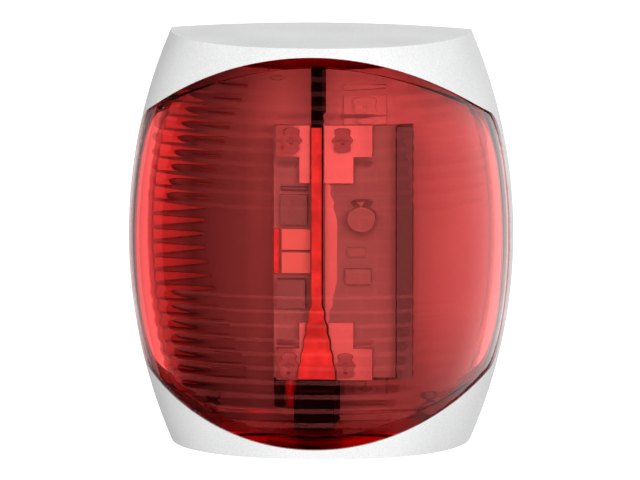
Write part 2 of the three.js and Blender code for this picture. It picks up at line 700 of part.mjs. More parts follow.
function makeClampScrews() {
  const screws = [];
  for (const end of [1, -1]) {
    for (const side of [-1, 1]) {
      const under = CLAMP_FRONT - FACE;
      const shape = screwY(
        clampScrewX(side, end),
        end * CLAMP_SCREW_Z,
        under - 1,
        under,
        CLAMP_REAR - FACE,
        1.9,
        1,
      );
      screws.push(piece(`clamp_screw_${screws.length + 1}`, shape, STAINLESS));
    }
  }
  return screws;
}

// Black fin that stops the light's sector, and the white strip along its front edge.
function makeScreens() {
  const reach = HALF_HEIGHT - TUB_IN - SCREEN_TOP_REACH;
  const ends = [reach + MODULE_DROP, MODULE_DROP - reach];
  const past = BOARD_TOP + SCREEN_STEP;
  const bulkhead = [COVER_FRONT - SEAL_THICKNESS, SCREEN_FRONT];
  const thin = [-SCREEN_THICKNESS / 2, SCREEN_THICKNESS / 2];
  const wide = [-SCREEN_FLARE / 2, SCREEN_FLARE / 2];
  const fin = join(
    slab(screenOutline(...ends, 0), [SCREEN_REAR, SCREEN_FRONT]),
    box(thin, bulkhead, [past, ends[0]]),
    box(wide, [bulkhead[0], SCREEN_FOOT_FRONT], [-past, ends[1]]),
  );
  const stripFront = SCREEN_FRONT - FACE - STRIP_THICKNESS;
  const strip = slab(screenOutline(BOARD_TOP, -BOARD_TOP, -FACE), [SCREEN_FRONT - FACE, stripFront]);
  const aftLeft = BOARD_RIGHT + FIT;
  const aftRight = aftLeft + AFT_SCREEN_WIDTH;
  const behind = BRACKET_FACE + BRACKET_SHEET + FACE;
  const flangeRear = behind + AFT_FLANGE_SHEET;
  const inside = BOARD_TOP - BRACKET_SHEET - FIT;
  const depth = [flangeRear, BRACKET_FACE - AFT_SCREEN_DEPTH];
  const aft = join(
    box([aftLeft, aftRight], depth, [-BOARD_TOP, BOARD_TOP]),
    box([aftLeft - AFT_FLANGE, aftRight], [behind, flangeRear], [-inside, inside]),
  );
  return [
    piece("cutoff_screen", fin, BLACK_PLASTIC),
    piece("reflector_strip", strip, WHITE_PLASTIC),
    piece("aft_screen", aft, BLACK_PLASTIC),
  ];
}

// Insulated leads from the board's lower edge, round under the bracket and back to the gland.
function makeLeads() {
  const SIDES = 8;
  const section = new THREE.Shape();
  for (let i = 0; i < SIDES; i++) {
    const angle = (2 * Math.PI * (i + 0.5)) / SIDES;
    const point = [LEAD_RADIUS * Math.cos(angle), LEAD_RADIUS * Math.sin(angle)];
    if (i) section.lineTo(...point);
    else section.moveTo(...point);
  }
  const boardMiddle = (BOARD_REAR + BOARD_FRONT) / 2;
  const bracketBack = BRACKET_FACE + BRACKET_SHEET;
  const edge = -BOARD_TOP - MODULE_DROP;
  return [
    ["lead_negative", LEAD_X[0], LEAD_BOARD_X[0], 0, BLACK_RUBBER],
    ["lead_positive", LEAD_X[1], LEAD_BOARD_X[1], 1, RED_SLEEVE],
  ].map(([name, glandX, boardX, layer, finish]) => {
    const depth = bracketBack + LEAD_RADIUS + 0.5 + layer * (2 * LEAD_RADIUS + FACE);
    const route = new THREE.CatmullRomCurve3([
      new THREE.Vector3(boardX, boardMiddle, edge - 0.4),
      new THREE.Vector3(boardX, boardMiddle, edge - 2.6),
      new THREE.Vector3(boardX, boardMiddle + 1.6, edge - 5.2),
      new THREE.Vector3(boardX, depth - 1.3, edge - 5.6),
      new THREE.Vector3(boardX, depth, edge - 2.6),
      new THREE.Vector3(boardX, depth, edge + 3),
      new THREE.Vector3(glandX, depth, INLET_Z - 5),
      new THREE.Vector3(glandX, depth, INLET_Z - 1.6),
      new THREE.Vector3(glandX, COVER_FRONT - 1.9, INLET_Z),
      new THREE.Vector3(glandX, COVER_FRONT + 0.6, INLET_Z),
    ]);
    const geometry = new THREE.ExtrudeGeometry(section, { steps: 36, extrudePath: route });
    return piece(name, solid(geometry), finish);
  });
}

// ---- Assembly ----

const ledModule = new THREE.Group();
ledModule.position.z = -MODULE_DROP;
ledModule.add(
  makeBracket(),
  ...makeBracketScrews(),
  makeBoard(),
  ...makeBoardParts(),
  ...makeClamps(),
  ...makeClampScrews(),
  ...makeScreens(),
);

const light = new THREE.Group();
light.add(
  makeHousing(),
  makeLens(),
  makeBackCover(),
  makeBackSeal(),
  ...makeBackScrews(),
  makeVentPlug(),
  makeCableGland(),
  makePlateGasket(),
  makeMountingPlate(),
  makeLockInsert(),
  makeLockWasher(),
  makeLockScrew(),
  ledModule,
  ...makeLeads(),
);

export default light;
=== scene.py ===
"""Looks of a port navigation light: white housing, ribbed red lens, LED module, wall plate."""

import logging
import math
from dataclasses import dataclass, field
from enum import Enum
from typing import Callable, Iterable, Optional, Sequence

import bpy
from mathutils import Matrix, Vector

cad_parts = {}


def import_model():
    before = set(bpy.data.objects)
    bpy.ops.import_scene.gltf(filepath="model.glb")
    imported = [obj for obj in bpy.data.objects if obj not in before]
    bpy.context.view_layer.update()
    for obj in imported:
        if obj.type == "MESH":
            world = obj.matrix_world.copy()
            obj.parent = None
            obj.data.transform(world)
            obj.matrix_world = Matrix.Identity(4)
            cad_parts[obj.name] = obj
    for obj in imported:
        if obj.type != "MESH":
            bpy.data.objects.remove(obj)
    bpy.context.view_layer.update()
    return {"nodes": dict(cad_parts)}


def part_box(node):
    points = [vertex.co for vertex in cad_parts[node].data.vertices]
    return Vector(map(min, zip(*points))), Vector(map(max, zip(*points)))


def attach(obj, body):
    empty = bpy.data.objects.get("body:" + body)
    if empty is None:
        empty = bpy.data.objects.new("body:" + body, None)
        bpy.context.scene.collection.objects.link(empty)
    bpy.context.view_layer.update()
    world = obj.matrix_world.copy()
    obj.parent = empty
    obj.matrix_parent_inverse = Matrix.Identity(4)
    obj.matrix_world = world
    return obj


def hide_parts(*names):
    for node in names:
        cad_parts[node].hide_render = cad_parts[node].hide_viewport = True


LOG = logging.getLogger("navigation_light")
MM = 0.001

PAST_BACK = 20 * MM  # where a hollow's cutter ends, well behind the light
SEAL_GAP = 0.1 * MM  # between the lens's rim and the seal behind it
ROD_SIDES = 32
OPENING_SIDES = 256
RING_SIDES = 96
MEMBRANE_SIDES = 24
ROUNDED_ANGLE = 40  # edges sharper than this, in degrees, are rounded
SMOOTH_ANGLE = 32  # edges less sharp than this, in degrees, are shaded smooth
RIB_SMOOTH_ANGLE = 20
SIDE_TOLERANCE = 1e-4  # a share of the form's half depth
CAP_MARGIN = 1e-5  # metres between a division and the form's flat end
SAME_PLACE = 1e-6  # metres

Colour = tuple[float, float, float]
Marks = tuple[tuple[float, float], ...]


class Cut(Enum):
    """The ways in which one solid can change another."""

    REMOVE = "DIFFERENCE"
    KEEP = "INTERSECT"
    JOIN = "UNION"


class Body(Enum):
    """The frame's bodies that new pieces ride on."""

    LANTERN = "lantern"


# ---- Modelling helpers ----


def select_only(target: bpy.types.Object) -> None:
    """Makes an object the only selected one, and the active one.

    Args:
        target: the object to select.
    """
    if bpy.context.mode != "OBJECT":
        bpy.ops.object.mode_set(mode="OBJECT")
    bpy.ops.object.select_all(action="DESELECT")
    target.select_set(True)
    bpy.context.view_layer.objects.active = target


def settle(target: bpy.types.Object, name: str) -> bpy.types.Object:
    """Names an object and moves its place into its mesh.

    Args:
        target: the object to settle.
        name: its new name.

    Returns:
        The same object.
    """
    select_only(target)
    target.name = name
    target.data.name = name
    bpy.ops.object.transform_apply(location=True, rotation=True, scale=True)
    return target


def apply_modifier(target: bpy.types.Object, kind: str, **settings: object) -> None:
    """Adds a modifier and applies it at once.

    Args:
        target: the object to change.
        kind: the modifier's type.
        **settings: the modifier's own settings.
    """
    modifier = target.modifiers.new(kind.lower(), kind)
    for key, value in settings.items():
        setattr(modifier, key, value)
    select_only(target)
    bpy.ops.object.modifier_apply(modifier=modifier.name)


def combine(target: bpy.types.Object, tool: bpy.types.Object, cut: Cut) -> None:
    """Changes one solid by another, which is used up.

    Args:
        target: the solid that changes.
        tool: the solid that changes it.
        cut: how it does so.
    """
    apply_modifier(target, "BOOLEAN", object=tool, operation=cut.value, solver="MANIFOLD")
    bpy.data.objects.remove(tool)


def soften(target: bpy.types.Object, width: float, segments: int = 2) -> None:
    """Rounds an object's sharp edges and smooths the rest.

    Args:
        target: the object to soften.
        width: the rounding's width in metres.
        segments: how many faces the rounding has.
    """
    apply_modifier(
        target,
        "BEVEL",
        width=width,
        segments=segments,
        limit_method="ANGLE",
        angle_limit=math.radians(ROUNDED_ANGLE),
    )
    smooth(target)


def smooth(target: bpy.types.Object, angle: float = SMOOTH_ANGLE) -> None:
    """Shades an object smooth, apart from its sharp edges.

    Args:
        target: the object to shade.
        angle: the sharpest edge, in degrees, that is shaded smooth.
    """
    select_only(target)
    bpy.ops.object.shade_smooth_by_angle(angle=math.radians(angle))


def add_box(lo: Sequence[float], hi: Sequence[float], name: str) -> bpy.types.Object:
    """Adds a box between two corners.

    Args:
        lo: its lowest corner.
        hi: its highest corner.
        name: its name.

    Returns:
        The box, settled.
    """
    low, high = Vector(lo), Vector(hi)
    bpy.ops.mesh.primitive_cube_add(size=1, location=(low + high) / 2)
    box = bpy.context.object
    box.scale = high - low
    return settle(box, name)


def add_rod(
    radius: float, start: Vector, end: Vector, name: str, sides: int = ROD_SIDES
) -> bpy.types.Object:
    """Adds a cylinder between two points.

    Args:
        radius: its radius.
        start: the middle of one end.
        end: the middle of the other.
        name: its name.
        sides: how many sides it has.

    Returns:
        The cylinder, settled.
    """
    along = end - start
    bpy.ops.mesh.primitive_cylinder_add(
        vertices=sides,
        radius=radius,
        depth=along.length,
        location=(start + end) / 2,
    )
    rod = bpy.context.object
    rod.rotation_mode = "QUATERNION"
    rod.rotation_quaternion = along.to_track_quat("Z", "Y")
    return settle(rod, name)


# ---- Finishes ----


def add_profile(
    tree: bpy.types.NodeTree, value: bpy.types.NodeSocket, marks: Marks
) -> bpy.types.NodeSocket:
    """Turns a value from 0 to 1 into a grey that follows a profile.

    Args:
        tree: the material's nodes.
        value: the value.
        marks: the grey at each of the rising values.

    Returns:
        The grey's socket.
    """
    ramp = tree.nodes.new("ShaderNodeValToRGB")
    stops = ramp.color_ramp.elements
    while len(stops) < len(marks):
        stops.new(0.5)
    for stop, (place, shade) in zip(stops, marks):
        stop.position = place
        stop.color = (shade, shade, shade, 1)
    tree.links.new(value, ramp.inputs["Fac"])
    return ramp.outputs["Color"]


@dataclass(frozen=True)
class Finish:
    """A surface finish, made as a procedural material.

    Its colour blends between a darker and a lighter shade where its noise runs from dark_end to
    light_end, and its bump is bump_share of its grain deep.
    """

    name: str
    colour: Colour
    roughness: float = 0.5
    metallic: float = 0.0
    grain: float = 0.4 * MM
    bump: float = 0.1
    variation: float = 0.06
    sheen: float = 0.5
    dark_end: float = 0.3
    light_end: float = 0.7
    bump_share: float = 1 / 8

    def material(self) -> bpy.types.Material:
        """Builds the finish's material, or finds it if it is already there.

        Returns:
            The material.
        """
        title = f"finish_{self.name}"
        found = bpy.data.materials.get(title)
        if found:
            return found
        made = bpy.data.materials.new(title)
        made.use_nodes = True
        made.diffuse_color = (*self.colour, 1)
        self.wire(made.node_tree)
        return made

    def shader(self, tree: bpy.types.NodeTree) -> bpy.types.ShaderNode:
        """Sets the finish's constants on a material's main shader.

        Args:
            tree: the material's nodes.

        Returns:
            The main shader.
        """
        shader = tree.nodes["Principled BSDF"]
        shader.inputs["Base Color"].default_value = (*self.colour, 1)
        shader.inputs["Roughness"].default_value = self.roughness
        shader.inputs["Metallic"].default_value = self.metallic
        shader.inputs["Specular IOR Level"].default_value = self.sheen
        return shader

    def noise(
        self, tree: bpy.types.NodeTree, scale: float, detail: float = 3
    ) -> bpy.types.Node:
        """Adds a noise in Object coordinates.

        Args:
            tree: the material's nodes.
            scale: the size of the noise's cells, in metres.
            detail: how many octaves it has.

        Returns:
            The noise node.
        """
        place = tree.nodes.new("ShaderNodeTexCoord")
        noise = tree.nodes.new("ShaderNodeTexNoise")
        noise.inputs["Scale"].default_value = 1 / scale
        noise.inputs["Detail"].default_value = detail
        tree.links.new(place.outputs["Object"], noise.inputs["Vector"])
        return noise

    def mottle(self, tree: bpy.types.NodeTree, source: bpy.types.NodeSocket) -> None:
        """Colours the main shader with the finish's shades, blended by a pattern.

        Args:
            tree: the material's nodes.
            source: the pattern.
        """
        low = [c * (1 - self.variation) for c in self.colour]
        high = [min(1.0, c * (1 + self.variation)) for c in self.colour]
        ramp = tree.nodes.new("ShaderNodeValToRGB")
        dark, light = ramp.color_ramp.elements
        dark.position, light.position = self.dark_end, self.light_end
        dark.color, light.color = (*low, 1), (*high, 1)
        tree.links.new(source, ramp.inputs["Fac"])
        base = tree.nodes["Principled BSDF"].inputs["Base Color"]
        tree.links.new(ramp.outputs["Color"], base)

    def raise_bump(
        self, tree: bpy.types.NodeTree, source: bpy.types.NodeSocket, depth: float
    ) -> None:
        """Roughens the main shader's normal with a pattern.

        Args:
            tree: the material's nodes.
            source: the pattern.
            depth: the bump's depth in metres.
        """
        bump = tree.nodes.new("ShaderNodeBump")
        bump.inputs["Strength"].default_value = self.bump
        bump.inputs["Distance"].default_value = depth
        tree.links.new(source, bump.inputs["Height"])
        tree.links.new(bump.outputs["Normal"], tree.nodes["Principled BSDF"].inputs["Normal"])

    def wire(self, tree: bpy.types.NodeTree) -> None:
        """Fills the material's nodes.

        Args:
            tree: the material's nodes.
        """
        self.shader(tree)
        noise = self.noise(tree, self.grain)
        self.mottle(tree, noise.outputs["Fac"])
        self.raise_bump(tree, noise.outputs["Fac"], self.grain * self.bump_share)


@dataclass(frozen=True)
class MouldedFinish(Finish):
    """Moulded plastic: a fine even texture over a faint cloudiness."""

    cloud: float = 18 * MM
    cloud_share: float = 0.35
    index: float = 1.5
    bump_share: float = 1 / 6

    def wire(self, tree: bpy.types.NodeTree) -> None:
        """Fills the material's nodes.

        Args:
            tree: the material's nodes.
        """
        shader = self.shader(tree)
        shader.inputs["IOR"].default_value = self.index
        fine = self.noise(tree, self.grain, detail=2)
        broad = self.noise(tree, self.cloud, detail=1)
        blend = tree.nodes.new("ShaderNodeMix")
        blend.inputs["Factor"].default_value = self.cloud_share
        tree.links.new(fine.outputs["Fac"], blend.inputs["A"])
        tree.links.new(broad.outputs["Fac"], blend.inputs["B"])
        self.mottle(tree, blend.outputs["Result"])
        self.raise_bump(tree, fine.outputs["Fac"], self.grain * self.bump_share)


@dataclass(frozen=True)
class PaintedShadeFinish(MouldedFinish):
    """Moulded plastic with painted light and shade: lighter and darker across the lantern and up
    it, where light falls.

    The marks of both profiles are places in millimetres, rising, each with the painted shade
    there.
    """

    across: Marks = ((-32, 1.0), (28, 1.0))
    upwards: Marks = ((-30, 1.0), (30, 1.0))

    def shade(
        self, tree: bpy.types.NodeTree, value: bpy.types.NodeSocket, marks: Marks
    ) -> bpy.types.NodeSocket:
        """Turns a coordinate into a shade.

        Args:
            tree: the material's nodes.
            value: the coordinate.
            marks: the profile.

        Returns:
            The shade's socket.
        """
        start, stop = marks[0][0], marks[-1][0]
        span = tree.nodes.new("ShaderNodeMapRange")
        span.inputs["From Min"].default_value = start * MM
        span.inputs["From Max"].default_value = stop * MM
        tree.links.new(value, span.inputs["Value"])
        shares = tuple(((place - start) / (stop - start), shade) for place, shade in marks)
        return add_profile(tree, span.outputs["Result"], shares)

    def wire(self, tree: bpy.types.NodeTree) -> None:
        """Fills the material's nodes.

        Args:
            tree: the material's nodes.
        """
        super().wire(tree)
        shader = tree.nodes["Principled BSDF"]
        colour = shader.inputs["Base Color"].links[0].from_socket
        place = tree.nodes.new("ShaderNodeTexCoord")
        split = tree.nodes.new("ShaderNodeSeparateXYZ")
        tree.links.new(place.outputs["Object"], split.inputs["Vector"])
        for axis, marks in (("X", self.across), ("Z", self.upwards)):
            blend = tree.nodes.new("ShaderNodeMixRGB")
            blend.blend_type = "MULTIPLY"
            blend.inputs["Fac"].default_value = 1.0
            tree.links.new(colour, blend.inputs["Color1"])
            tree.links.new(self.shade(tree, split.outputs[axis], marks), blend.inputs["Color2"])
            colour = blend.outputs["Color"]
        tree.links.new(colour, shader.inputs["Base Color"])


@dataclass(frozen=True)
class LensFinish(Finish):
    """Clear tinted plastic that also lets its light through to what stands behind it.

    The tint colours the light that falls through it, body and density colour what is seen
    through it.
    """

    tint: Colour = (0.985, 0.81, 0.8)
    index: float = 1.49
    density: float = 230.0
    body: Colour = (0.99, 0.0, 0.0)

    def wire(self, tree: bpy.types.NodeTree) -> None:
        """Fills the material's nodes.

        Args:
            tree: the material's nodes.
        """
        shader = self.shader(tree)
        shader.inputs["IOR"].default_value = self.index
        shader.inputs["Transmission Weight"].default_value = 1.0
        noise = self.noise(tree, self.grain, detail=1)
        self.mottle(tree, noise.outputs["Fac"])
        path = tree.nodes.new("ShaderNodeLightPath")
        clear = tree.nodes.new("ShaderNodeBsdfTransparent")
        clear.inputs["Color"].default_value = (*self.tint, 1)
        mix = tree.nodes.new("ShaderNodeMixShader")
        tree.links.new(path.outputs["Is Shadow Ray"], mix.inputs["Fac"])
        tree.links.new(shader.outputs["BSDF"], mix.inputs[1])
        tree.links.new(clear.outputs["BSDF"], mix.inputs[2])
        output = tree.nodes["Material Output"]
        tree.links.new(mix.outputs["Shader"], output.inputs["Surface"])
        depth = tree.nodes.new("ShaderNodeVolumeAbsorption")
        depth.inputs["Color"].default_value = (*self.body, 1)
        depth.inputs["Density"].default_value = self.density
        tree.links.new(depth.outputs["Volume"], output.inputs["Volume"])


@dataclass(frozen=True)
class BrushedFinish(Finish):
    """Metal with fine scratches, its noise stretched by a factor per axis."""

    stretch: tuple[float, float, float] = (1.0, 1.0, 12.0)
    bump_share: float = 1 / 10

    def wire(self, tree: bpy.types.NodeTree) -> None:
        """Fills the material's nodes.

        Args:
            tree: the material's nodes.
        """
        self.shader(tree)
        noise = self.noise(tree, self.grain, detail=4)
        turn = tree.nodes.new("ShaderNodeMapping")
        turn.inputs["Scale"].default_value = self.stretch
        place = noise.inputs["Vector"].links[0].from_socket
        tree.links.new(place, turn.inputs["Vector"])
        tree.links.new(turn.outputs["Vector"], noise.inputs["Vector"])
        self.mottle(tree, noise.outputs["Fac"])
        self.raise_bump(tree, noise.outputs["Fac"], self.grain * self.bump_share)


@dataclass(frozen=True)
class BoardFinish(Finish):
    """Lacquered circuit board with copper tracks that show through as paler lines."""

    track: Colour = (0.385, 0.515, 0.495)
    track_width: float = 0.03
    track_rise: float = 0.05 * MM
    pitch: float = 2.6 * MM
    rows_per_unit: float = 0.25
    second_shade: float = 0.97

    def wire(self, tree: bpy.types.NodeTree) -> None:
        """Fills the material's nodes.

        Args:
            tree: the material's nodes.
        """
        shader = self.shader(tree)
        place = tree.nodes.new("ShaderNodeTexCoord")
        brick = tree.nodes.new("ShaderNodeTexBrick")
        turn = tree.nodes.new("ShaderNodeMapping")
        turn.inputs["Rotation"].default_value = (math.pi / 2, 0, 0)
        brick.inputs["Scale"].default_value = self.rows_per_unit / self.pitch
        brick.inputs["Mortar Size"].default_value = self.track_width
        brick.inputs["Color1"].default_value = (*self.colour, 1)
        brick.inputs["Color2"].default_value = (*(c * self.second_shade for c in self.colour), 1)
        brick.inputs["Mortar"].default_value = (*self.track, 1)
        tree.links.new(place.outputs["Object"], turn.inputs["Vector"])
        tree.links.new(turn.outputs["Vector"], brick.inputs["Vector"])
        tree.links.new(brick.outputs["Color"], shader.inputs["Base Color"])
        self.raise_bump(tree, brick.outputs["Fac"], self.track_rise)


WHITE = MouldedFinish(
    "white_satin",
    (0.52, 0.521, 0.523),
    0.6,
    grain=0.26 * MM,
    bump=0.3,
    variation=0.13,
    sheen=0.25,
)
LENS_RED = LensFinish("clear_red", (0.97, 0.66, 0.65), 0.02, grain=9 * MM, variation=0.03)
BLACK = MouldedFinish(
    "black_matt", (0.004, 0.004, 0.004), 0.6, grain=0.3 * MM, variation=0.2, sheen=0.04
)
SHADE = MouldedFinish("dark_shade", (0.15, 0.26, 0.26), 0.6, grain=0.3 * MM, sheen=0.2)
DARK_CHIP = MouldedFinish("dark_chip", (0.28, 0.42, 0.41), 0.4, grain=0.25 * MM, bump=0.2)
RUBBER = MouldedFinish(
    "black_rubber", (0.02, 0.02, 0.021), 0.8, grain=0.5 * MM, bump=0.25, variation=0.15
)
MILKY_RUBBER = MouldedFinish(
    "milky_rubber", (0.6, 0.6, 0.57), 0.6, grain=0.5 * MM, variation=0.05
)
GREY_INNER = MouldedFinish("grey_inner", (0.36, 0.36, 0.36), 0.55, grain=0.3 * MM, bump=0.15)
# Painted light and shade on the back cover, bracket, vent and screws: a lit strip along the left
# wall, painted shadow left of the cut-off screen, a darker band on the right, and darker towards
# the bottom.
COVER_PAINTED_SHADE = PaintedShadeFinish(
    "cover_painted_shade",
    (0.86, 0.86, 0.85),
    0.55,
    grain=0.3 * MM,
    bump=0.15,
    across=(
        (-32, 1.0),
        (-27.5, 0.42),
        (-23.5, 0.16),
        (-14, 0.3),
        (-2, 0.9),
        (10, 0.92),
        (20, 0.74),
        (28, 0.9),
    ),
    upwards=((-30, 0.4), (-22, 0.62), (-14, 0.74), (14, 0.74), (24, 1.0)),
)
# Painted shade on the clamps and the screen's flange: darker at the left and right ends and
# towards the bottom.
CLAMP_PAINTED_SHADE = PaintedShadeFinish(
    "clamp_white_painted_shade",
    (0.9, 0.9, 0.88),
    0.5,
    grain=0.3 * MM,
    bump=0.15,
    across=((-8, 0.4), (-4.6, 0.5), (-3, 1.0), (6, 1.0), (9, 0.8)),
    upwards=((-24, 0.78), (0, 0.9), (20, 1.0)),
)
# Painted light and shade on the side prisms: bright at their roots by the lit left wall, fading
# into shade towards the middle and towards the bottom.
PRISM_RED_PAINTED_LIGHT = PaintedShadeFinish(
    "prism_red_painted_light",
    (0.92, 0.44, 0.4),
    0.5,
    grain=0.3 * MM,
    sheen=0.2,
    across=((-32, 1.0), (-28, 0.75), (-24, 0.4), (-18, 0.2), (15, 0.62), (32, 0.95)),
    upwards=((-30, 0.35), (-18, 0.55), (0, 0.75), (16, 1.0)),
)
REFLECTOR = Finish(
    "red_reflector", (0.7, 0.2, 0.18), 0.35, grain=3.5 * MM, bump=0.05, variation=0.3
)
RED_SLEEVE = Finish("red_sleeve", (0.5, 0.03, 0.03), 0.45, grain=0.8 * MM, bump=0.1)
PHOSPHOR = Finish("led_phosphor", (0.84, 0.8, 0.68), 0.25, grain=0.15 * MM, bump=0.1)
STEEL = BrushedFinish("stainless", (0.62, 0.63, 0.64), 0.28, 1.0, grain=0.35 * MM, bump=0.1)
BRASS = BrushedFinish("brass", (0.72, 0.5, 0.2), 0.3, 1.0, grain=0.3 * MM, bump=0.1)
BOARD = BoardFinish("board_mask", (0.37, 0.5, 0.48), 0.4, bump=0.04)


def dress(target: bpy.types.Object, finish: Finish) -> None:
    """Gives an object one finish all over.

    Args:
        target: the object.
        finish: its finish.
    """
    target.data.materials.clear()
    target.data.materials.append(finish.material())


# ---- The light's outer form ----


@dataclass(frozen=True)
class Barrel:
    """The barrel form that the housing and the lens share.

    Its widest plane lies at y = -ridge. Ahead of it the outline is a superellipse of the given
    power, behind it a shallow bow.
    """

    half_width: float
    half_height: float
    front: float = 29 * MM
    ridge: float = 13 * MM
    side_radius: float = 94.5 * MM
    power: float = 2.28
    bulge: float = 1.2 * MM
    bow: float = 7.3 * MM
    sides: int = 176

    def half(self, z: float, inset: float) -> float:
        """Measures half the form's width.

        Args:
            z: the height.
            inset: how far in from the skin.

        Returns:
            Half the width there.
        """
        drop = math.sqrt((self.side_radius - inset) ** 2 - z**2)
        return self.half_width - self.side_radius + drop

    def reach(self, z: float, inset: float) -> float:
        """Measures how far the form's front stands ahead of its widest plane.

        Args:
            z: the height.
            inset: how far in from the skin.

        Returns:
            The distance there.
        """
        return self.front - inset - self.bulge * (z / self.half_height) ** 2

    def place(self, point: Vector, inset: float, back: Optional[float]) -> Vector:
        """Maps a point of a unit cylinder to the form.

        Args:
            point: the cylinder's point, with its true height.
            inset: how far in from the skin it lies.
            back: where the form's straight back ends, or None for its bowed back.

        Returns:
            The point on the form.
        """
        angle = math.atan2(point.y, point.x)
        across, ahead = math.cos(angle), -math.sin(angle)
        half = self.half(point.z, inset)
        if ahead > -SIDE_TOLERANCE:
            power = 2 / self.power
            x = half * math.copysign(abs(across) ** power, across)
            y = -self.ridge - self.reach(point.z, inset) * max(ahead, 0) ** power
            return Vector((x, y, point.z))
        if back is None:
            return Vector((half * across, -self.ridge + self.bow * (1 - across**2), point.z))
        widest = math.cos(2 * math.pi / self.sides)
        return Vector((half * max(-1.0, min(1.0, across / widest)), back, point.z))

    def solid(
        self,
        name: str,
        inset: float,
        heights: Iterable[float],
        back: Optional[float] = None,
        tooth: Callable[[float, float], float] = lambda z, across: 0.0,
    ) -> bpy.types.Object:
        """Models the form as a closed solid.

        Args:
            name: the solid's name.
            inset: how far in from the skin it lies.
            heights: where its side is divided.
            back: where its straight back ends, or None for its bowed back.
            tooth: how much further in it lies at a height, and at a share of the half width.

        Returns:
            The solid.
        """
        depth = 2 * (self.half_height - inset)
        bpy.ops.mesh.primitive_cylinder_add(vertices=self.sides, radius=1, depth=depth)
        solid = bpy.context.object
        bpy.ops.object.mode_set(mode="EDIT")
        for height in heights:
            if abs(height) < depth / 2 - CAP_MARGIN:
                bpy.ops.mesh.select_all(action="SELECT")
                bpy.ops.mesh.bisect(plane_co=(0, 0, height), plane_no=(0, 0, 1))
        bpy.ops.object.mode_set(mode="OBJECT")
        for vertex in solid.data.vertices:
            radius = vertex.co.xy.length
            across = abs(vertex.co.x) / radius if radius else 0.0
            vertex.co = self.place(vertex.co, inset + tooth(vertex.co.z, across), back)
        return settle(solid, name)

    def rings(self, count: int) -> list[float]:
        """Spaces heights evenly over the form.

        Args:
            count: how many parts they divide it into.

        Returns:
            The heights.
        """
        return [self.half_height * (2 * i / count - 1) for i in range(1, count)]


@dataclass(frozen=True)
class Opening:
    """The lens opening: straight through the front, between two arcs, with rounded corners."""

    barrel: Barrel
    radius: float = 45.4 * MM
    margin: float = 1.65 * MM
    side: float = 3.5 * MM
    corner: float = 5 * MM
    corner_steps: int = 8
    clip: float = 38 * MM
    length: float = 60 * MM

    def cutter(self, inset: float) -> bpy.types.Object:
        """Models the opening as a solid that runs out past the front.

        Args:
            inset: how far in from the opening's edge it lies.

        Returns:
            The solid.
        """
        drop = self.radius - (self.barrel.half_height - self.margin)
        rear = -(self.barrel.ridge + self.side + inset)
        halves = []
        for end in (-1, 1):
            start = Vector((0, rear, end * drop))
            stop = Vector((0, rear - self.length, end * drop))
            halves.append(add_rod(self.radius - inset, start, stop, "opening", OPENING_SIDES))
        combine(halves[0], halves[1], Cut.KEEP)
        low = (-self.clip, rear - self.length - MM, -self.length)
        high = (self.clip, rear + MM, self.length)
        combine(halves[0], add_box(low, high, "limits"), Cut.KEEP)
        self.round_rear(halves[0], rear)
        return halves[0]

    def round_rear(self, cutter: bpy.types.Object, rear: float) -> None:
        """Rounds the cutter's rear rim, which gives the opening its rounded corners.

        Args:
            cutter: the cutter.
            rear: where its rear face lies.
        """
        select_only(cutter)
        bpy.ops.object.mode_set(mode="EDIT")
        bpy.ops.mesh.select_all(action="DESELECT")
        bpy.ops.object.mode_set(mode="OBJECT")
        for edge in cutter.data.edges:
            ends = [cutter.data.vertices[i].co for i in edge.vertices]
            edge.select = all(abs(end.y - rear) < SAME_PLACE for end in ends)
        bpy.ops.object.mode_set(mode="EDIT")
        bpy.ops.mesh.select_mode(type="EDGE")
        bpy.ops.mesh.bevel(offset=self.corner, segments=self.corner_steps, affect="EDGES")
        bpy.ops.object.mode_set(mode="OBJECT")


# ---- Sub-assemblies ----


@dataclass
class Housing:
    """White moulded shell with its lens opening, and recesses below for the rails and the foot."""

    barrel: Barrel
    opening: Opening
    wall: float = 2.2 * MM
    edge: float = 0.28 * MM
    divisions: int = 40
    rail_recess: float = 14.8 * MM
    rail_front: float = 8.8 * MM
    foot_recess: float = 7.8 * MM
    foot_front: float = 12 * MM

    def build(self) -> bpy.types.Object:
        """Models the shell and dresses it.

        Returns:
            The shell.
        """
        rings = self.barrel.rings(self.divisions)
        shell = self.barrel.solid("housing_shell", 0, rings)
        inner = self.barrel.solid("inner", self.wall, rings, back=PAST_BACK)
        combine(shell, inner, Cut.REMOVE)
        combine(shell, self.opening.cutter(0), Cut.REMOVE)
        bottom, top = -self.barrel.half_height - MM, -self.barrel.half_height + self.wall + MM
        rail, foot = (self.rail_recess, self.rail_front), (self.foot_recess, self.foot_front)
        for half, front in (rail, foot):
            recess = add_box((-half, -front, bottom), (half, MM, top), "recess")
            combine(shell, recess, Cut.REMOVE)
        soften(shell, self.edge)
        dress(shell, WHITE)
        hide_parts("housing")
        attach(shell, Body.LANTERN.value)
        return shell


